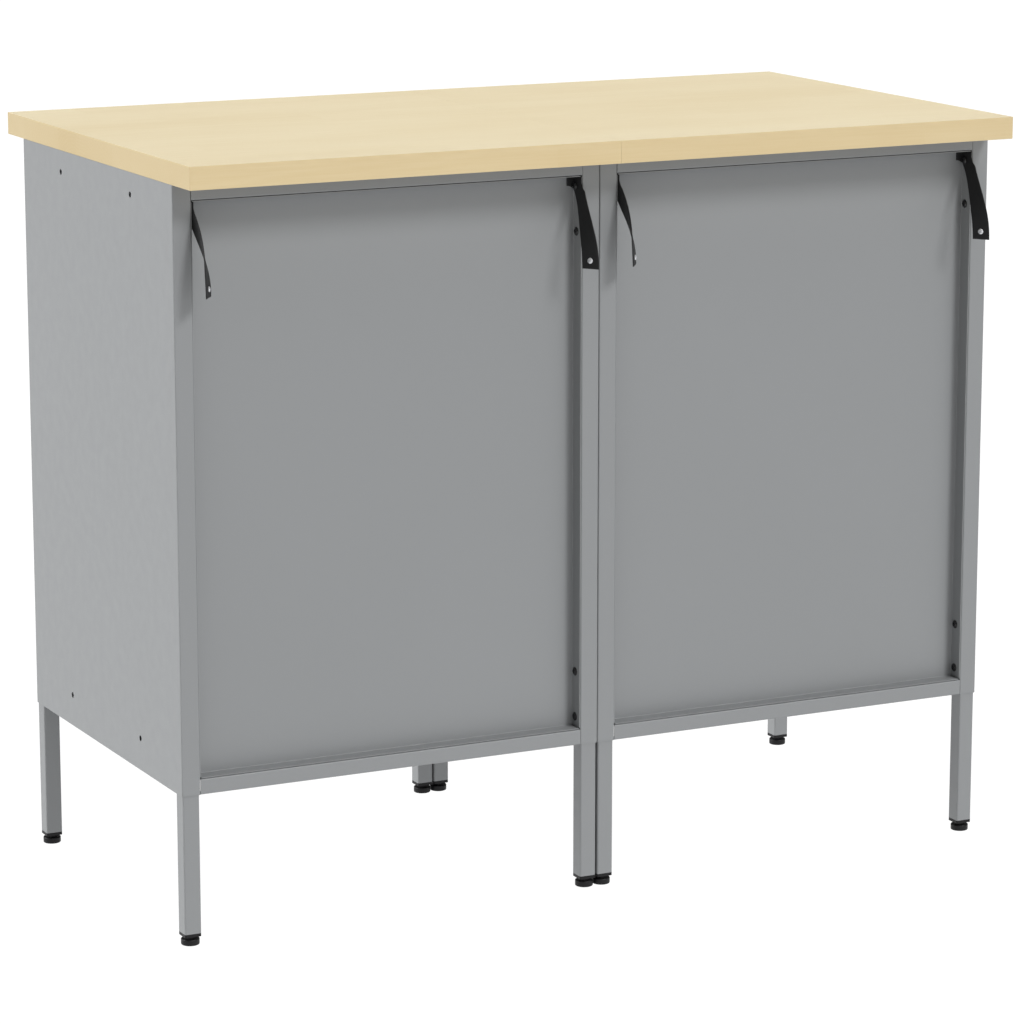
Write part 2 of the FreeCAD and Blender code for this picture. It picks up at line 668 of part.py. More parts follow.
def door_handle():
    """A round bow handle with its two feet on the door."""
    half = HANDLE_CENTRES / 2
    bar_y = FRONT_Y - HANDLE_REACH
    low, high = HANDLE_Z - half, HANDLE_Z + half
    bend = HANDLE_CORNER
    inset = bend * (1 - math.sqrt(0.5))
    path = [Part.LineSegment(point(FITTING_X, FRONT_Y, low),
                             point(FITTING_X, bar_y + bend, low)).toShape(),
            Part.Arc(point(FITTING_X, bar_y + bend, low), point(FITTING_X, bar_y + inset, low + inset),
                     point(FITTING_X, bar_y, low + bend)).toShape(),
            Part.LineSegment(point(FITTING_X, bar_y, low + bend),
                             point(FITTING_X, bar_y, high - bend)).toShape(),
            Part.Arc(point(FITTING_X, bar_y, high - bend), point(FITTING_X, bar_y + inset, high - inset),
                     point(FITTING_X, bar_y + bend, high)).toShape(),
            Part.LineSegment(point(FITTING_X, bar_y + bend, high),
                             point(FITTING_X, FRONT_Y, high)).toShape()]
    circle = Part.Wire(Part.Circle(point(FITTING_X, FRONT_Y, low), Y_AXIS, HANDLE_RADIUS).toShape())
    bar = Part.Wire(path).makePipeShell([circle], True, True)
    feet = [rod(point(FITTING_X, FRONT_Y - HANDLE_FLARE_HEIGHT, z), Y_AXIS,
                HANDLE_RADIUS + HANDLE_FLARE, HANDLE_FLARE_HEIGHT) for z in (low, high)]
    bores = [rod(point(FITTING_X, FRONT_Y - HANDLE_BORE_DEPTH, z), Y_AXIS,
                 HANDLE_SCREW_RADIUS + FIT, HANDLE_BORE_DEPTH + 1) for z in (low, high)]
    return joined([bar] + feet).cut(bores)


def handle_screws():
    fixing = screw(HANDLE_SCREW_HEAD_RADIUS, HANDLE_SCREW_HEAD_HEIGHT, HANDLE_SCREW_RADIUS,
                   HANDLE_SCREW_LENGTH)
    return group([aimed(fixing, point(FITTING_X, FRONT_Y + SHEET, z), Y_AXIS)
                  for z in handle_screw_places()])


def lock_body():
    start = point(FITTING_X, FRONT_Y, LOCK_Z)
    bezel = rod(start - Y_AXIS * LOCK_BEZEL_HEIGHT, Y_AXIS, LOCK_BEZEL_RADIUS, LOCK_BEZEL_HEIGHT)
    barrel = rod(start, Y_AXIS, LOCK_RADIUS, CAM_SETBACK - CAM_GAP)
    bore = rod(start - Y_AXIS * 3, Y_AXIS, PLUG_RADIUS + FIT, CAM_SETBACK + 6)
    return joined([bezel, barrel]).cut(bore)


def lock_plug():
    """The turning plug with its key slot, and the cam that hangs down when unlocked."""
    start = point(FITTING_X, FRONT_Y - LOCK_BEZEL_HEIGHT, LOCK_Z)
    plug = rod(start, Y_AXIS, PLUG_RADIUS, LOCK_BEZEL_HEIGHT + CAM_SETBACK)
    cam_y = FRONT_Y + CAM_SETBACK
    half = CAM_WIDTH / 2
    cam = joined([rod(point(FITTING_X, cam_y, LOCK_Z), Y_AXIS, half, CAM_THICKNESS),
                  block((FITTING_X - half, FITTING_X + half), (cam_y, cam_y + CAM_THICKNESS),
                        (LOCK_Z - CAM_REACH, LOCK_Z))])
    nut = rod(point(FITTING_X, cam_y, LOCK_Z), Y_AXIS, CAM_NUT_RADIUS, CAM_THICKNESS + CAM_NUT_HEIGHT)
    slot = block((FITTING_X - KEY_SLOT_WIDTH / 2, FITTING_X + KEY_SLOT_WIDTH / 2),
                 (start.y - 1, start.y + KEY_SLOT_DEPTH),
                 (LOCK_Z - KEY_SLOT_HEIGHT / 2, LOCK_Z + KEY_SLOT_HEIGHT / 2))
    return joined([plug, cam, nut]).cut(slot)


def bumper_places():
    x = OPENING_IN + STOP_LIP / 2
    return [(x, BODY_BOTTOM + BUMPER_FROM_END), (x, BODY_TOP - BUMPER_FROM_END)]


def door_bumpers():
    """Push-in rubber pads on the stop lip, behind the door's free edge."""
    lip_face = FRONT_Y + STOP_LIP_SETBACK
    pads = [joined([rod(point(x, lip_face - BUMPER_HEIGHT, z), Y_AXIS, BUMPER_RADIUS, BUMPER_HEIGHT),
                    rod(point(x, lip_face, z), Y_AXIS, BUMPER_PLUG_RADIUS, SHEET + 2)])
            for x, z in bumper_places()]
    return group(pads + [mirrored(pad) for pad in pads])


# ---- straps ----------------------------------------------------------------------------
def smooth_step(value):
    value = min(max(value, 0.0), 1.0)
    return value * value * (3 - 2 * value)


def strap_centre(s):
    """The strap's mid-line: down the wall, then off it and out of the recess, for s from 0 to 1."""
    lift = min(max(s - STRAP_LIFT_START, 0.0) / STRAP_LIFT_SPAN, 1.0)
    off_wall = STRAP_CLEARANCE + STRAP_THICKNESS / 2 + STRAP_LIFT * math.sin(math.pi / 2 * lift)
    depth = STRAP_TOP_DEPTH - STRAP_SWING * math.sin(math.pi / 2 * s)
    return point(off_wall, -depth, BODY_TOP - STRAP_TOP_BELOW_BODY_TOP - STRAP_DROP * s)


def strap_frame(s):
    """Centre, width direction and normal of the strap, which twists as it hangs."""
    step = 0.01
    run = (strap_centre(min(s + step, 1.0)) - strap_centre(max(s - step, 0.0))).normalize()
    twist = math.radians(90 - STRAP_TWIST * smooth_step((s - STRAP_TWIST_START) / STRAP_TWIST_SPAN))
    width = point(math.cos(twist), -math.sin(twist), 0)
    width = (width - run * width.dot(run)).normalize()
    return strap_centre(s), width, width.cross(run)


def strap_tab():
    """The strap's fixed end: flat on the recess wall and bent onto the back panel."""
    off_wall = STRAP_CLEARANCE + STRAP_THICKNESS / 2
    corner = (off_wall, off_wall - BACK_SETBACK)
    section = sheet_section([(off_wall, TAB_PROUD), corner, (TAB_ON_BACK, corner[1])],
                            STRAP_THICKNESS, TAB_BEND)
    top = BODY_TOP - TAB_BELOW_BODY_TOP
    return along_z(section, top - TAB_HEIGHT, top)


def strap_end_place():
    return 1.0 - END_SCREW_FROM_END / STRAP_DROP


def placed_strap(shape, outer):
    """Moves a shape from the wall's own corner to the recess wall on one side."""
    wall = OPENING_OUT if outer else OPENING_IN
    inward = -1 if outer else 1
    if outer:
        shape = shape.mirror(point(0, 0, 0), X_AXIS)
    shape.translate(point(wall + inward * (SHEET + FIT), REAR_Y, 0))
    return shape


def strap(outer):
    """Flat webbing with a tab at the top that is screwed to the recess wall, and a free end."""
    sections = []
    for index in range(STRAP_STATIONS + 1):
        centre, width, normal = strap_frame(index / STRAP_STATIONS)
        across = width * (STRAP_WIDTH / 2)
        through = normal * (STRAP_THICKNESS / 2)
        corners = [centre - across - through, centre + across - through,
                   centre + across + through, centre - across + through]
        sections.append(Part.makePolygon(corners + [corners[0]]))
    ribbon = Part.makeLoft(sections, True, True)
    centre, width, normal = strap_frame(strap_end_place())
    screw_z = BODY_BOTTOM + REAR_SCREW_HEIGHTS[-1]
    cuts = [rod(point(-2, -SCREW_SETBACK, screw_z), X_AXIS, SCREW_HOLE_RADIUS, 8),
            rod(centre - normal * 4, normal, END_SCREW_HOLE_RADIUS, 8)]
    return placed_strap(joined([ribbon, strap_tab()]).cut(cuts), outer)


def strap_end_screw(outer):
    """A binding screw through the strap's free end, with a head on each side."""
    centre, width, normal = strap_frame(strap_end_place())
    half = STRAP_THICKNESS / 2 + END_SCREW_GAP
    head = aimed(domed_head(END_SCREW_RADIUS, END_SCREW_HEIGHT), centre + normal * half, normal)
    tail = aimed(domed_head(END_SCREW_RADIUS, END_SCREW_TAIL_HEIGHT), centre - normal * half, normal * -1)
    shaft = rod(centre - normal * (half + END_SCREW_BITE), normal, END_SCREW_SHAFT_RADIUS,
                2 * (half + END_SCREW_BITE))
    return placed_strap(joined([head, tail, shaft]), outer)


def strap_end_screws():
    screws = [strap_end_screw(outer) for outer in (False, True)]
    return group(screws + [mirrored(item) for item in screws])


# ---- all the nodes ---------------------------------------------------------------------
def cabinet_nodes():
    """Every node of the right cabinet that the left one repeats in mirror image."""
    nodes = {"outer_side_panel": outer_side_panel(), "inner_side_panel": inner_side_panel(),
             "bottom_panel": bottom_panel(), "top_panel": top_panel(), "back_panel": back_panel(),
             "shelf_uprights": shelf_uprights(), "shelf_clips": shelf_clips(), "shelf": shelf(),
             "worktop": worktop(), "door_skin": door_skin(), "door_inner_panel": door_inner_panel(),
             "hinge_pins": hinge_pins(), "hinge_bushes": hinge_bushes(),
             "door_handle": door_handle(), "handle_screws": handle_screws(),
             "lock_body": lock_body(), "lock_plug": lock_plug()}
    for outer in (False, True):
        column = "outer" if outer else "inner"
        nodes[column + "_strap"] = strap(outer)
        for rear in (False, True):
            place = column + ("_rear" if rear else "_front")
            nodes[place + "_leg"] = leg(outer, rear)
            nodes[place + "_foot"] = foot(outer, rear)
    return nodes


def all_nodes():
    nodes = {}
    for name, shape in cabinet_nodes().items():
        nodes["right_" + name] = shape
        nodes["left_" + name] = mirrored(shape)
    for name, build in (("frame_screws", frame_screws), ("worktop_screws", worktop_screws)):
        shape = build()
        nodes[name] = group([shape, mirrored(shape)])
    nodes["leg_caps"] = leg_caps()
    nodes["door_bumpers"] = door_bumpers()
    nodes["joining_bolts"] = joining_bolts()
    nodes["strap_end_screws"] = strap_end_screws()
    return nodes


os.makedirs("parts", exist_ok=True)
for node_name, node_shape in all_nodes().items():
    node_shape.exportStep(os.path.join("parts", node_name + ".step"))
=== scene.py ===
import json
import math

import bpy
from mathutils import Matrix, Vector


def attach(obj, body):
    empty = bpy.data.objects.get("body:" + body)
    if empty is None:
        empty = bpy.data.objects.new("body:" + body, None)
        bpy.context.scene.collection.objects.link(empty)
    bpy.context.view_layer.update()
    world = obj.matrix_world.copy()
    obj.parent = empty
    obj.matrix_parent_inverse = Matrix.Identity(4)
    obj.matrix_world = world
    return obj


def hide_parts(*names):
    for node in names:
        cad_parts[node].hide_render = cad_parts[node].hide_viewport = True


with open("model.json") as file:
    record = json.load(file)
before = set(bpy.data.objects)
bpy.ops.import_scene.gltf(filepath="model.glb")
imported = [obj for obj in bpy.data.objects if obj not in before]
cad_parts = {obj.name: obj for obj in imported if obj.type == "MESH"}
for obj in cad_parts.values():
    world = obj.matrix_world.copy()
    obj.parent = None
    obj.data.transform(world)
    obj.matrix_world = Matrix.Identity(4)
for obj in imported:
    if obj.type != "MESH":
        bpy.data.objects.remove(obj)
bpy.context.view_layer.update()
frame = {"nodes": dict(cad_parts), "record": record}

NODES = frame["nodes"]

# ---- sizes of the webbing straps, in metres ----------------------------------------------
# Each strap is described from the corner where a recess wall meets the cabinet's rear face:
# "off" is the distance from the wall, "depth" the distance into the recess from that face.
REAR_Y = 0.225
BODY_TOP = 0.825
WALL_OUTER_X = 0.47795
WALL_INNER_X = 0.02225
BACK_DEPTH = 0.019
STRAP_WIDTH = 0.020
STRAP_THICKNESS = 0.0014
STRAP_CLEARANCE = 0.0003
STRAP_OFF = STRAP_CLEARANCE + STRAP_THICKNESS / 2
STRAP_TOP_DEPTH = 0.009
STRAP_START_Z = BODY_TOP - 0.0255
STRAP_DROP = 0.0899
STRAP_SWING = 0.0397
STRAP_LIFT = 0.0036
STRAP_LIFT_START = 0.11
STRAP_LIFT_SPAN = 0.5
STRAP_TWIST = 36.0
STRAP_TWIST_START = 0.15
STRAP_TWIST_SPAN = 0.75
TAB_TOP_Z = BODY_TOP - 0.0190
TAB_BOTTOM_Z = TAB_TOP_Z - 0.0113
TAB_ON_BACK = 0.0086
TAB_PROUD = STRAP_WIDTH / 2 - STRAP_TOP_DEPTH
TAB_BEND = 0.0010
TAB_EXTRA = BACK_DEPTH - STRAP_OFF + TAB_ON_BACK - STRAP_OFF + TAB_PROUD - STRAP_WIDTH
FLARE_END_Z = TAB_BOTTOM_Z - 0.0113
FLARE_ROWS = 30
ROW_STEP = 0.00055
COLUMN_STEP = 0.00055
RIB_PITCH = 0.0016
RIB_HEIGHT = 0.00006
WEAVE_PITCH = 0.0008
SELVEDGE = 0.0012
SELVEDGE_SHARE = 0.30
FRAME_STEP = 0.0008

# ---- the worktop's wood, in metres -------------------------------------------------------
STAVE_WIDTH = 0.0550
STAVE_LENGTH = 0.46
BOARD_HALF_DEPTH = 0.2750
RING_PITCH = 0.0046

# ---- camera and light --------------------------------------------------------------------
CAMERA_PLACE = (2.06670, 4.16208, 1.38138)
CAMERA_YAW = math.radians(26.46373)
CAMERA_PITCH = math.radians(12.05552)
CAMERA_LENS = 144.350
FLOOR_HALF = 30.0
FLOOR_GREY = 0.05
BACKDROP_HEIGHT = 30.0
# Just below the lowest that a levelling foot reaches, so that none passes through the floor.
FLOOR_Z = -0.0102


# ---- node helpers ------------------------------------------------------------------------
class Shader:
    """A material's node tree, with short calls to add nodes and wire them."""

    def __init__(self, name):
        self.material = bpy.data.materials.new(name)
        self.material.use_nodes = True
        self.tree = self.material.node_tree
        self.surface = self.tree.nodes["Principled BSDF"]
        self.place = self.add("ShaderNodeTexCoord").outputs["Object"]

    def add(self, kind, inputs=None, **settings):
        node = self.tree.nodes.new(kind)
        for key, value in settings.items():
            setattr(node, key, value)
        for key, value in (inputs or {}).items():
            self.set(node.inputs[key], value)
        return node

    def set(self, socket, value):
        if isinstance(value, bpy.types.NodeSocket):
            self.tree.links.new(value, socket)
        elif hasattr(socket.default_value, "__len__") and len(socket.default_value) == 4:
            socket.default_value = tuple(value) + (1.0,) * (4 - len(value))
        else:
            socket.default_value = value

    def math(self, operation, *values, clamp=False):
        node = self.add("ShaderNodeMath", operation=operation, use_clamp=clamp)
        for index, value in enumerate(values):
            self.set(node.inputs[index], value)
        return node.outputs[0]

    def vector(self, operation, *values):
        node = self.add("ShaderNodeVectorMath", operation=operation)
        for index, value in enumerate(values):
            self.set(node.inputs[index], value)
        return node.outputs[0]

    def split(self, vector):
        return self.add("ShaderNodeSeparateXYZ", {"Vector": vector}).outputs

    def join(self, x, y, z):
        return self.add("ShaderNodeCombineXYZ", {"X": x, "Y": y, "Z": z}).outputs[0]

    def scaled(self, x, y, z):
        return self.vector("MULTIPLY", self.place, (x, y, z))

    def noise(self, where, scale, detail=2.0, roughness=0.5, distortion=0.0):
        return self.add("ShaderNodeTexNoise", {"Vector": where, "Scale": scale, "Detail": detail,
                                               "Roughness": roughness, "Distortion": distortion},
                        normalize=True).outputs["Fac"]

    def remap(self, value, low, high, new_low, new_high):
        node = self.add("ShaderNodeMapRange", {"Value": value, "From Min": low, "From Max": high,
                                               "To Min": new_low, "To Max": new_high})
        return node.outputs["Result"]

    def mix(self, factor, first, second, blend="MIX"):
        node = self.add("ShaderNodeMix", data_type="RGBA", blend_type=blend, clamp_factor=True)
        for name, value in (("Factor_Float", factor), ("A_Color", first), ("B_Color", second)):
            socket = next(item for item in node.inputs if item.identifier == name)
            self.set(socket, value)
        return next(item for item in node.outputs if item.identifier == "Result_Color")

    def bump(self, height, strength, distance, normal=None):
        inputs = {"Height": height, "Strength": strength, "Distance": distance}
        if normal is not None:
            inputs["Normal"] = normal
        return self.add("ShaderNodeBump", inputs).outputs["Normal"]

    def finish(self, **inputs):
        names = {key.replace("_", " ").lower(): value for key, value in inputs.items()}
        for socket in self.surface.inputs:
            if socket.name.lower() in names:
                self.set(socket, names[socket.name.lower()])
        return self.material


# ---- materials ---------------------------------------------------------------------------
def powder_coat():
    """Satin grey powder coat: a fine orange-peel skin with a very slight drift in tone."""
    shader = Shader("grey_powder_coat")
    drift = shader.noise(shader.place, 3.0, 3.0, 0.55)
    grain = shader.noise(shader.place, 2600.0, 1.0, 0.5)
    peel = shader.noise(shader.place, 520.0, 2.0, 0.5)
    tone = shader.math("ADD", shader.remap(drift, 0.3, 0.7, 0.0, 0.7),
                       shader.remap(grain, 0.3, 0.7, 0.0, 0.3))
    colour = shader.mix(tone, (0.2065, 0.2135, 0.218), (0.2135, 0.2205, 0.226))
    roughness = shader.remap(shader.noise(shader.place, 60.0, 2.0), 0.3, 0.7, 0.44, 0.52)
    skin = shader.bump(peel, 0.055, 0.00025)
    skin = shader.bump(grain, 0.035, 0.0001, skin)
    return shader.finish(base_color=colour, roughness=roughness, normal=skin, specular_ior_level=0.45)


def beech_board():
    """Glued-up pale beech: long staves with growth rings cut along their length, and end grain."""
    shader = Shader("beech_board")
    x, y, z = shader.split(shader.place)
    across = shader.math("DIVIDE", shader.math("ADD", y, BOARD_HALF_DEPTH), STAVE_WIDTH)
    stave = shader.math("FLOOR", across)
    stave_noise = shader.add("ShaderNodeTexWhiteNoise", {"W": stave}, noise_dimensions="1D")
    stave_shift = shader.math("MULTIPLY", stave_noise.outputs["Value"], 7.0)
    along = shader.math("ADD", shader.math("DIVIDE", x, STAVE_LENGTH), stave_shift)
    block = shader.math("FLOOR", along)
    seed_place = shader.join(stave, block, 0.0)
    seed = shader.add("ShaderNodeTexWhiteNoise", {"Vector": seed_place}, noise_dimensions="2D")
    tone = seed.outputs["Value"]
    pith_y, pith_z, _ = shader.split(seed.outputs["Color"])
    slow = shader.noise(shader.scaled(1.6, 9.0, 9.0), 1.0, 2.0, 0.5)
    ring_y = shader.math("ADD", shader.math("MULTIPLY_ADD", pith_y, 0.16, -0.08), y)
    ring_z = shader.math("SUBTRACT", z, shader.math("MULTIPLY_ADD", pith_z, 0.10, 0.70))
    radius = shader.math("SQRT", shader.math("ADD", shader.math("MULTIPLY", ring_y, ring_y),
                                             shader.math("MULTIPLY", ring_z, ring_z)))
    radius = shader.math("MULTIPLY_ADD", slow, 0.045, radius)
    rings = shader.math("SINE", shader.math("MULTIPLY", radius, 2 * math.pi / RING_PITCH))
    fibre = shader.noise(shader.scaled(14.0, 620.0, 620.0), 1.0, 3.0, 0.6)
    fleck = shader.noise(shader.scaled(90.0, 1500.0, 1500.0), 1.0, 1.0, 0.5)
    cloud = shader.noise(shader.scaled(2.2, 7.0, 7.0), 1.0, 3.0, 0.55)
    figure = shader.math("ADD", shader.math("MULTIPLY", rings, 0.10),
                         shader.remap(fibre, 0.30, 0.70, 0.0, 0.42))
    figure = shader.math("ADD", figure, shader.remap(cloud, 0.30, 0.70, -0.25, 0.45))
    figure = shader.math("ADD", figure, shader.math("MULTIPLY", tone, 0.28))
    colour = shader.mix(shader.math("MULTIPLY", figure, 0.8, clamp=True),
                        (0.597, 0.524, 0.367), (0.549, 0.461, 0.298))
    # The board's vertical faces are darkened and warmed by their direction: painted shade on the edges,
    # darker still on the ends, where end grain also darkens the wood.
    normal = shader.add("ShaderNodeNewGeometry").outputs["Normal"]
    nx, ny, nz = shader.split(normal)
    side = shader.math("SUBTRACT", 1.0, shader.math("ABSOLUTE", nz), clamp=True)
    end = shader.math("ABSOLUTE", nx, clamp=True)
    edge_shade_and_end_grain = shader.mix(end, (0.976, 0.905, 0.778), (0.840, 0.786, 0.690))
    colour = shader.mix(side, colour, edge_shade_and_end_grain, "MULTIPLY")
    pores = shader.noise(shader.scaled(300.0, 1900.0, 1900.0), 1.0, 2.0, 0.6)
    pore_shade = shader.remap(pores, 0.45, 0.75, 0.0, 0.35)
    colour = shader.mix(shader.math("MULTIPLY", end, pore_shade), colour, (0.47, 0.36, 0.21))
    dark_fleck = shader.remap(fleck, 0.66, 0.76, 0.0, 0.22)
    colour = shader.mix(dark_fleck, colour, (0.50, 0.39, 0.23))
    gap = shader.math("ABSOLUTE", shader.math("SUBTRACT", shader.math("FRACT", across), 0.5))
    glue = shader.remap(gap, 0.496, 0.4995, 0.0, 0.10)
    colour = shader.mix(glue, colour, (0.40, 0.30, 0.17))
    roughness = shader.remap(fibre, 0.3, 0.7, 0.58, 0.70)
    skin = shader.bump(fibre, 0.10, 0.0002)
    return shader.finish(base_color=colour, roughness=roughness, normal=skin, specular_ior_level=0.14)


def black_webbing():
    """Flat woven nylon: fine ribs across the strap with a lengthwise yarn over and under them."""
    shader = Shader("black_webbing")
    uv = shader.add("ShaderNodeUVMap", uv_map="cloth").outputs["UV"]
    u, v, _ = shader.split(uv)
    across = shader.math("MULTIPLY", u, math.pi / WEAVE_PITCH)
    along = shader.math("MULTIPLY", v, math.pi / WEAVE_PITCH)
    over = shader.math("MULTIPLY", shader.math("SINE", across), shader.math("SINE", along))
    thread = shader.noise(shader.vector("MULTIPLY", uv, (6000.0, 1400.0, 1.0)), 1.0, 2.0, 0.6)
    # The cloth's colour follows the weave's height: painted shade in its hollows and a painted highlight
    # on the yarn's crossings, mixed with random thread tone.
    weave = shader.math("ADD", shader.math("MULTIPLY", over, 0.5), shader.math("MULTIPLY", thread, 0.5))
    tone = shader.remap(weave, -0.4, 0.9, 0.0, 1.0)
    colour = shader.mix(tone, (0.0035, 0.0037, 0.0041), (0.0105, 0.0108, 0.0118))
    skin = shader.bump(weave, 0.45, 0.00012)
    roughness = shader.remap(thread, 0.3, 0.7, 0.50, 0.66)
    return shader.finish(base_color=colour, roughness=roughness, normal=skin, specular_ior_level=0.28,
                         sheen_weight=0.03, sheen_roughness=0.4)


def moulded(name, dark, light, rough_low, rough_high, grain_scale, grain_strength, specular=0.5):
    """Moulded plastic or rubber with a fine spark-eroded texture."""
    shader = Shader(name)
    grain = shader.noise(shader.place, grain_scale, 3.0, 0.6)
    cloud = shader.noise(shader.place, 45.0, 2.0, 0.5)
    tone = shader.math("ADD", shader.remap(grain, 0.3, 0.7, 0.0, 0.5),
                       shader.remap(cloud, 0.3, 0.7, 0.0, 0.5))
    colour = shader.mix(tone, dark, light)
    roughness = shader.remap(cloud, 0.3, 0.7, rough_low, rough_high)
    skin = shader.bump(grain, grain_strength, 0.0001)
    return shader.finish(base_color=colour, roughness=roughness, normal=skin,
                         specular_ior_level=specular)


def metal(name, dark, light, rough_low, rough_high, brush, strength, metallic=1.0):
    """Plated or blackened metal with fine marks, longest along the axis with the lowest scale."""
    shader = Shader(name)
    lines = shader.noise(shader.scaled(*brush), 1.0, 3.0, 0.6)
    cloud = shader.noise(shader.place, 120.0, 2.0, 0.5)
    colour = shader.mix(shader.remap(cloud, 0.3, 0.7, 0.0, 1.0), dark, light)
    roughness = shader.remap(lines, 0.3, 0.7, rough_low, rough_high)
    skin = shader.bump(lines, strength, 0.00005)
    return shader.finish(base_color=colour, roughness=roughness, normal=skin, metallic=metallic)


MATERIALS = {
    "grey_powder_coat": powder_coat(),
    "beech_board": beech_board(),
    "black_webbing": black_webbing(),
    "black_plastic": moulded("black_plastic", (0.004, 0.004, 0.0045), (0.009, 0.009, 0.010),
                             0.40, 0.52, 1800.0, 0.15, 0.22),
    "black_rubber": moulded("black_rubber", (0.010, 0.010, 0.010), (0.020, 0.020, 0.020),
                            0.62, 0.76, 2400.0, 0.30, 0.3),
    "white_nylon": moulded("white_nylon", (0.66, 0.64, 0.59), (0.74, 0.72, 0.67),
                           0.34, 0.44, 1500.0, 0.10),
    "black_screw": metal("black_screw", (0.004, 0.004, 0.005), (0.009, 0.009, 0.010),
                         0.22, 0.32, (700.0, 700.0, 2200.0), 0.25, 0.0),
    "zinc_steel": metal("zinc_steel", (0.56, 0.57, 0.59), (0.66, 0.67, 0.69),
                        0.36, 0.50, (2600.0, 2600.0, 500.0), 0.25, 0.75),
    "chrome_lock": metal("chrome_lock", (0.70, 0.71, 0.73), (0.78, 0.79, 0.81),
                         0.06, 0.14, (900.0, 900.0, 900.0), 0.08),
}


def paint_nodes():
    """Each CAD node takes the finish of its own material slot in the record."""
    for subpart in frame["record"]["subparts"]:
        node = NODES[subpart["node"]]
        material = MATERIALS[subpart["material_slot"]]
        for index in range(max(1, len(node.data.materials))):
            if index < len(node.data.materials):
                node.data.materials[index] = material
            else:
                node.data.materials.append(material)


# ---- webbing straps ----------------------------------------------------------------------
def smooth_step(value):
    value = min(max(value, 0.0), 1.0)
    return value * value * (3 - 2 * value)


def strap_frame(z):
    """Where the strap's mid-line is at this height, its width direction and its normal.

    X is the distance from the wall, Y is minus the depth into the recess, and Z is up.
    """
    def middle(height):
        s = (STRAP_START_Z - height) / STRAP_DROP
        lift = min(max(s - STRAP_LIFT_START, 0.0) / STRAP_LIFT_SPAN, 1.0)
        off = STRAP_OFF + STRAP_LIFT * math.sin(math.pi / 2 * lift)
        swing = STRAP_SWING * math.sin(math.pi / 2 * max(s, 0.0))
        return Vector((off, swing - STRAP_TOP_DEPTH, height))
    low = max(z - FRAME_STEP, STRAP_START_Z - STRAP_DROP)
    lean = smooth_step((TAB_BOTTOM_Z - z) / (TAB_BOTTOM_Z - FLARE_END_Z))
    run = Vector((0, 0, -1)).lerp((middle(low) - middle(z + FRAME_STEP)).normalized(), lean).normalized()
    s = (STRAP_START_Z - z) / STRAP_DROP
    twist = math.radians(90 - STRAP_TWIST * smooth_step((s - STRAP_TWIST_START) / STRAP_TWIST_SPAN))
    width = Vector((math.cos(twist), -math.sin(twist), 0))
    width = (width - run * width.dot(run)).normalized()
    return middle(z), width, width.cross(run).normalized()


def strap_rows():
    """Heights of the rows, from the tab's top edge to the free end, closest at the flare."""
    rows = []
    z = TAB_TOP_Z
    while z > TAB_BOTTOM_Z + ROW_STEP / 2:
        rows.append(z)
        z -= ROW_STEP
    flare = TAB_BOTTOM_Z - FLARE_END_Z
    rows += [FLARE_END_Z + flare * math.cos(math.pi / 2 * index / FLARE_ROWS)
             for index in range(FLARE_ROWS + 1)]
    z = FLARE_END_Z - ROW_STEP
    end = STRAP_START_Z - STRAP_DROP
    while z > end + ROW_STEP / 2:
        rows.append(z)
        z -= ROW_STEP
    return rows + [end]


def strap_width_at(z):
    """The cloth's width: full where it turns onto the back panel, then curving in to the strap's."""
    swung = strap_frame(max(z, TAB_BOTTOM_Z))[0].y + STRAP_TOP_DEPTH
    extra = TAB_EXTRA + swung
    if z >= TAB_BOTTOM_Z:
        return STRAP_WIDTH + extra
    if z <= FLARE_END_Z:
        return STRAP_WIDTH
    share = (z - FLARE_END_Z) / (TAB_BOTTOM_Z - FLARE_END_Z)
    return STRAP_WIDTH + extra * (1 - math.sqrt(max(1 - share * share, 0.0)))


def cloth_point(z, across):
    """A point of the cloth's middle surface and its normal; "across" runs from the front edge."""
    middle, width, normal = strap_frame(z)
    start = middle - width * (STRAP_WIDTH / 2)
    wall_run = start + width * across
    limit = -(BACK_DEPTH - STRAP_OFF)
    bend_start = limit + TAB_BEND
    if wall_run.y >= bend_start or abs(width.y) < 0.5:
        return wall_run, normal
    flat_length = (start.y - bend_start) / -width.y
    over = across - flat_length
    corner = start + width * flat_length
    arc = TAB_BEND * math.pi / 2
    facing = 1 if normal.x > 0 else -1
    if over < arc:
        angle = over / TAB_BEND
        offset = Vector((TAB_BEND * (1 - math.cos(angle)), -TAB_BEND * math.sin(angle), 0))
        return corner + offset, Vector((math.cos(angle), math.sin(angle), 0)) * facing
    along_back = Vector((TAB_BEND + over - arc, -TAB_BEND, 0))
    return corner + along_back, Vector((0, facing, 0))


def half_thickness(edge_distance, end_distance):
    """The cloth is full thickness inside, and rounds off at the selvedges and the sealed end."""
    share = min(min(edge_distance, end_distance) / SELVEDGE, 1.0)
    rounding = math.sqrt(max(1 - (1 - share) ** 2, 0.0))
    return STRAP_THICKNESS / 2 * (SELVEDGE_SHARE + (1 - SELVEDGE_SHARE) * rounding)


def rib(across, along):
    """Height of the woven ribs above the cloth's face."""
    row = math.sin(2 * math.pi * along / RIB_PITCH)
    column = math.sin(2 * math.pi * across / (RIB_PITCH * 1.5) + math.pi * (int(along / RIB_PITCH) % 2))
    return RIB_HEIGHT * (0.65 * row + 0.35 * column)


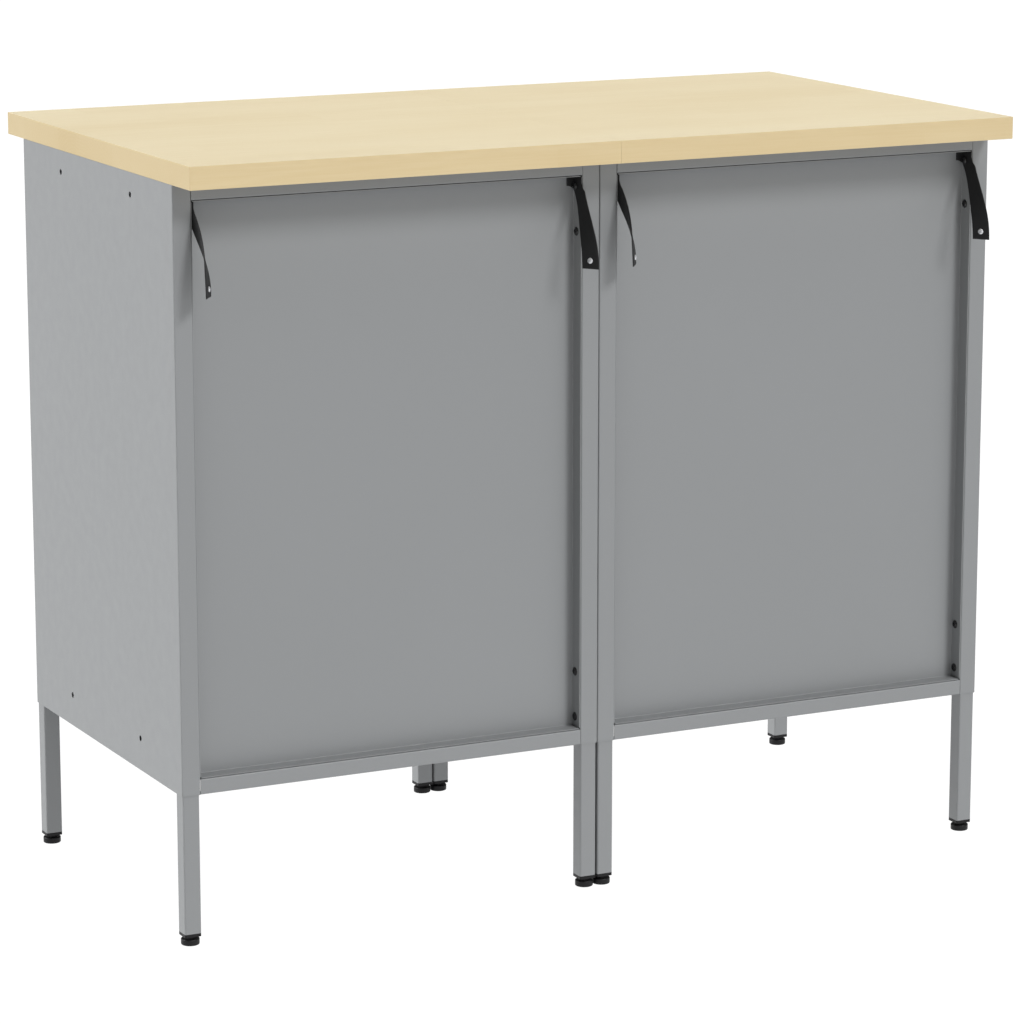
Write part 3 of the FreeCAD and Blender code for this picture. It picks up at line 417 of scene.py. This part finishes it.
def webbing_strap(name, wall_x, inward, mirror):
    """One strap: both faces of the cloth and its rim, as one closed mesh."""
    rows = strap_rows()
    columns = round((STRAP_WIDTH + TAB_EXTRA) / COLUMN_STEP)
    vertices, coordinates = [], []
    along = 0.0
    last = None
    for z in rows:
        width = strap_width_at(z)
        centre = strap_frame(z)[0]
        if last is not None:
            along += (centre - last).length
        last = centre
        for column in range(columns + 1):
            across = width * column / columns
            place, normal = cloth_point(z, across)
            edge = min(across, width - across)
            end = min(rows[0] - z, z - rows[-1])
            half = half_thickness(edge, end)
            ribbed = rib(across, along) * min(min(edge, end) / SELVEDGE, 1.0)
            for side in (1, -1):
                point = place + normal * (side * (half + ribbed))
                x = wall_x + inward * point.x
                vertices.append((-x if mirror else x, REAR_Y + point.y, point.z))
                coordinates.append((across, along))
    stride = 2 * (columns + 1)
    flip = (inward < 0) != mirror
    faces = []

    def quad(a, b, c, d):
        faces.append((d, c, b, a) if flip else (a, b, c, d))
    for row in range(len(rows) - 1):
        for column in range(columns):
            front = row * stride + 2 * column
            quad(front, front + 2, front + stride + 2, front + stride)
            back = front + 1
            quad(back, back + stride, back + stride + 2, back + 2)
        first = row * stride
        quad(first, first + stride, first + stride + 1, first + 1)
        final = first + 2 * columns
        quad(final, final + 1, final + stride + 1, final + stride)
    for column in range(columns):
        top = 2 * column
        quad(top, top + 1, top + 3, top + 2)
        bottom = (len(rows) - 1) * stride + 2 * column
        quad(bottom, bottom + 2, bottom + 3, bottom + 1)
    mesh = bpy.data.meshes.new(name)
    mesh.from_pydata(vertices, [], faces)
    layer = mesh.uv_layers.new(name="cloth")
    for loop in mesh.loops:
        layer.data[loop.index].uv = coordinates[loop.vertex_index]
    mesh.polygons.foreach_set("use_smooth", [True] * len(mesh.polygons))
    mesh.materials.append(MATERIALS["black_webbing"])
    mesh.validate()
    strap = bpy.data.objects.new(name, mesh)
    bpy.context.scene.collection.objects.link(strap)
    return strap


def hang_straps():
    for side in ("right", "left"):
        for column, wall_x, inward in (("inner", WALL_INNER_X, 1), ("outer", WALL_OUTER_X, -1)):
            node = f"{side}_{column}_strap"
            strap = webbing_strap(node + "_webbing", wall_x, inward, side == "left")
            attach(strap, "carcass")
            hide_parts(node)


# ---- stage, light and camera -------------------------------------------------------------
def stage_sheet(name, corners, faces, base):
    """A matt surface of the studio that looks white because it glows, like a table lit from below."""
    mesh = bpy.data.meshes.new(name)
    mesh.from_pydata(corners, [], faces)
    sheet = bpy.data.objects.new(name, mesh)
    bpy.context.scene.collection.objects.link(sheet)
    shader = Shader("studio_" + name)
    material = shader.finish(base_color=(base, base, base), roughness=0.9, specular_ior_level=0.0,
                             emission_color=(1.0, 1.0, 1.0), emission_strength=1.0)
    mesh.materials.append(material)
    return sheet


def floor_and_backdrop():
    half = FLOOR_HALF
    square = ((-half, -half), (half, -half), (half, half), (-half, half))
    floor = [(x, y, FLOOR_Z) for x, y in square]
    stage_sheet("floor", floor, [(0, 1, 2, 3)], FLOOR_GREY)
    walls = floor + [(x, y, BACKDROP_HEIGHT) for x, y in square]
    sides = [(k, (k + 1) % 4, (k + 1) % 4 + 4, k + 4) for k in range(4)]
    backdrop = stage_sheet("backdrop", walls, sides, 0.0)
    # The backdrop closes low views with white, and leaves the lighting of the object alone.
    backdrop.visible_diffuse = False
    backdrop.visible_glossy = False
    backdrop.visible_transmission = False
    backdrop.visible_shadow = False


def soft_sun(name, towards_light, strength, angle):
    light = bpy.data.lights.new(name, "SUN")
    light.energy = strength
    light.angle = math.radians(angle)
    lamp = bpy.data.objects.new(name, light)
    lamp.rotation_euler = Vector(towards_light).to_track_quat("Z", "Y").to_euler()
    bpy.context.scene.collection.objects.link(lamp)


def studio():
    floor_and_backdrop()
    soft_sun("end_light", (0.80, -0.45, 0.40), 1.01 * math.pi, 50.0)
    soft_sun("rear_light", (-0.35, 0.80, 0.655), 0.525 * math.pi, 15.0)
    soft_sun("rear_fill", (-0.35, 0.90, 0.15), 0.37 * math.pi, 70.0)
    soft_sun("top_light", (0.0, 0.0, 1.0), 0.47 * math.pi, 60.0)
    world = bpy.data.worlds.new("studio")
    world.use_nodes = True
    background = world.node_tree.nodes["Background"]
    background.inputs["Color"].default_value = (1.0, 1.0, 1.0, 1.0)
    background.inputs["Strength"].default_value = 0.20
    bpy.context.scene.world = world
    bpy.context.scene.view_settings.view_transform = "Standard"


def camera():
    lens = bpy.data.cameras.new("camera")
    lens.lens = CAMERA_LENS
    lens.sensor_width = 36.0
    lens.clip_end = 300.0
    eye = bpy.data.objects.new("camera", lens)
    eye.location = CAMERA_PLACE
    level = math.cos(CAMERA_PITCH)
    aim = Vector((-math.sin(CAMERA_YAW) * level, -math.cos(CAMERA_YAW) * level, -math.sin(CAMERA_PITCH)))
    eye.rotation_euler = aim.to_track_quat("-Z", "Y").to_euler()
    bpy.context.scene.collection.objects.link(eye)
    bpy.context.scene.camera = eye


paint_nodes()
hang_straps()
studio()
camera()
